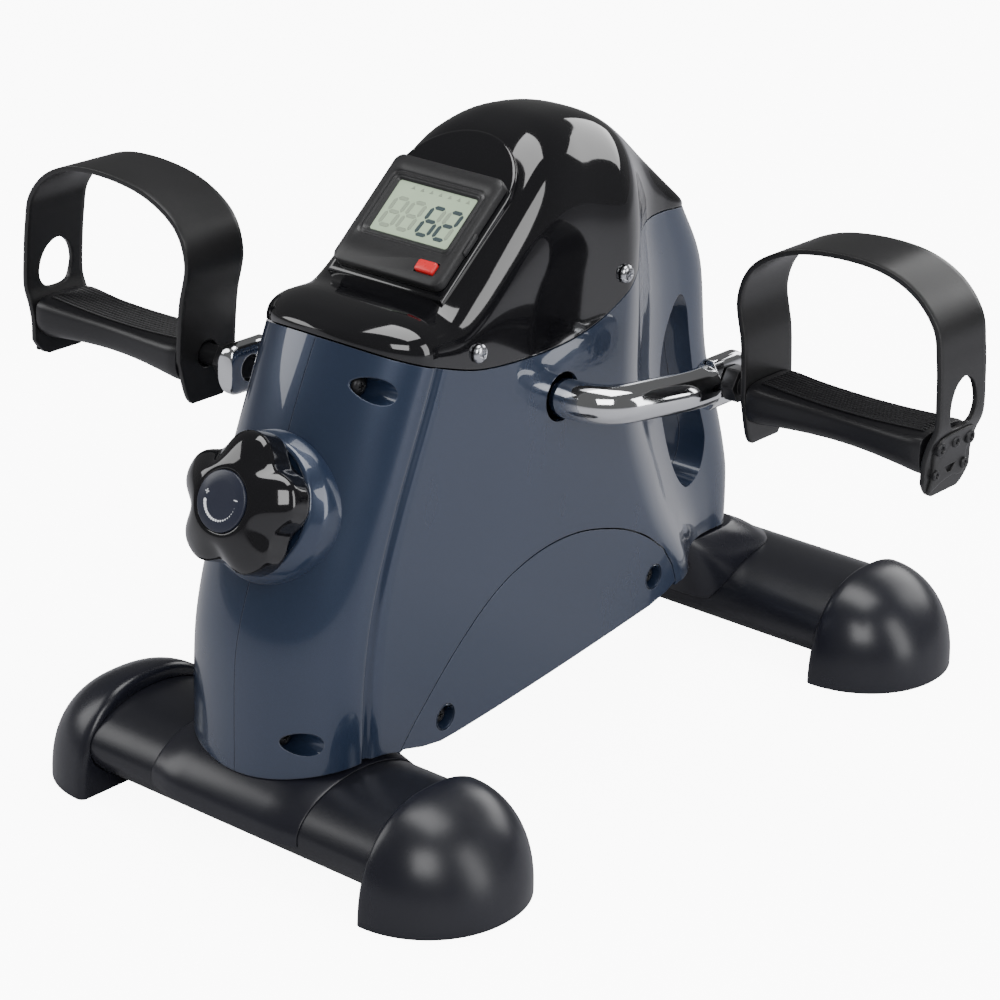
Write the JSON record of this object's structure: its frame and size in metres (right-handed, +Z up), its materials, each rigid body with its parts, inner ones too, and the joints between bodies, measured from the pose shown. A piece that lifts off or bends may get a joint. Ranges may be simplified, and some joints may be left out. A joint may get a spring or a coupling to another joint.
{
  "type": "pedal exerciser",
  "caption": "Floor-standing pedal exerciser: crank with strapped pedals through a domed housing with a brake knob, display and carry handle, on capped cross tubes.",
  "frame": {"origin": "middle of the footprint, on the floor", "axes": "+Z up, +X to the user's right along the crank axis, +Y away from the user, who sits at -Y facing the knob and the display"},
  "size_m": [0.4194, 0.4242, 0.3025],
  "materials": {
    "black_plastic": "satin black moulding",
    "strap_plastic": "flexible matt black moulding",
    "black_paint": "satin black powder coat",
    "frame_steel": "dark grey paint on pressed steel",
    "navy_paint": "metallic dark blue lacquer on a moulding",
    "navy_plastic": "plain dark blue disc",
    "gloss_black": "high gloss black moulding",
    "chrome": "polished plating",
    "steel": "bright zinc plate",
    "dark_screw": "black oxide screws",
    "cast_iron": "turned casting",
    "grey_plastic": "filled grey moulding",
    "rubber": "smooth black drive belt",
    "felt": "dense brown felt",
    "display": "grey-green liquid crystal display",
    "board_green": "circuit board",
    "red_plastic": "red button cap"
  },
  "bodies": {
    "stand": {"cap_front_left": "black_plastic", "cap_front_right": "black_plastic", "cap_rear_left": "black_plastic", "cap_rear_right": "black_plastic", "circuit_board": "board_green", "console_bezel": "gloss_black", "console_case": "black_plastic", "crank_bearing_left": "steel", "crank_bearing_right": "steel", "display": "display", "drive_belt": "rubber", "flywheel_axle": "steel", "frame_beam": "frame_steel", "frame_plate_left": "frame_steel", "frame_plate_right": "frame_steel", "frame_spacer_front": "frame_steel", "frame_spacer_rear": "frame_steel", "hood": "gloss_black", "housing_left": "navy_paint", "housing_right": "navy_paint", "knob_boss": "navy_paint", "saddle_front": "black_plastic", "saddle_rear": "black_plastic", "screw_column_lower": "dark_screw", "screw_column_upper": "dark_screw", "screw_cover_front_left": "dark_screw", "screw_cover_front_right": "dark_screw", "screw_cover_rear_left": "dark_screw", "screw_cover_rear_right": "dark_screw", "screw_hood_front_left": "steel", "screw_hood_front_right": "steel", "screw_hood_rear_left": "steel", "screw_hood_rear_right": "steel", "side_cover_left": "navy_paint", "side_cover_right": "navy_paint", "speed_sensor": "black_plastic", "tension_bracket": "frame_steel", "tube_front": "black_paint", "tube_rear": "black_paint"},
    "crank": {"crank": "chrome", "drive_pulley": "grey_plastic", "speed_magnet": "steel", "pedal_spindle_left": "steel", "pedal_spindle_right": "steel"},
    "flywheel": {"flywheel": "cast_iron", "flywheel_pulley": "grey_plastic"},
    "knob": {"tension_knob": "gloss_black", "knob_disc": "navy_plastic", "tension_screw": "steel"},
    "brake": {"brake_carrier": "grey_plastic", "brake_pad": "felt"},
    "button": {"button": "red_plastic"},
    "pedal_right": {"pedal_body_right": "black_plastic", "pedal_strap_right": "strap_plastic", "pedal_plate_right": "black_plastic"},
    "pedal_left": {"pedal_body_left": "black_plastic", "pedal_strap_left": "strap_plastic", "pedal_plate_left": "black_plastic"}
  },
  "joints": [
    {"name": "crank_spin", "type": "hinge", "parent": "stand", "child": "crank", "pos_m": [0, -0.037, 0.182], "axis": [1, 0, 0], "continuous": true},
    {"name": "flywheel_spin", "type": "hinge", "parent": "stand", "child": "flywheel", "pos_m": [0, -0.07984, 0.11971], "axis": [1, 0, 0], "continuous": true},
    {"name": "pedal_right_spin", "type": "hinge", "parent": "crank", "child": "pedal_right", "pos_m": [0.155, 0.033, 0.182], "axis": [1, 0, 0], "continuous": true},
    {"name": "pedal_left_spin", "type": "hinge", "parent": "crank", "child": "pedal_left", "pos_m": [-0.155, -0.107, 0.182], "axis": [1, 0, 0], "continuous": true},
    {"name": "knob_turn", "type": "hinge", "parent": "stand", "child": "knob", "pos_m": [0, -0.178, 0.157], "axis": [0, 0.9348, -0.3551], "range_deg": [0, 1152]},
    {"name": "brake_slide", "type": "slide", "parent": "stand", "child": "brake", "axis": [0, 0.9348, -0.3551], "range_m": [0, 0.004]},
    {"name": "button_press", "type": "slide", "parent": "stand", "child": "button", "axis": [0, 0.6561, -0.7547], "range_m": [0, 0.001], "stiffness_N_per_m": 400}
  ],
  "couplings": [
    {"joint": "flywheel_spin", "follows": "crank_spin", "ratio": 3.5},
    {"joint": "brake_slide", "follows": "knob_turn", "m_per_rad": 0.00019894}
  ]
}
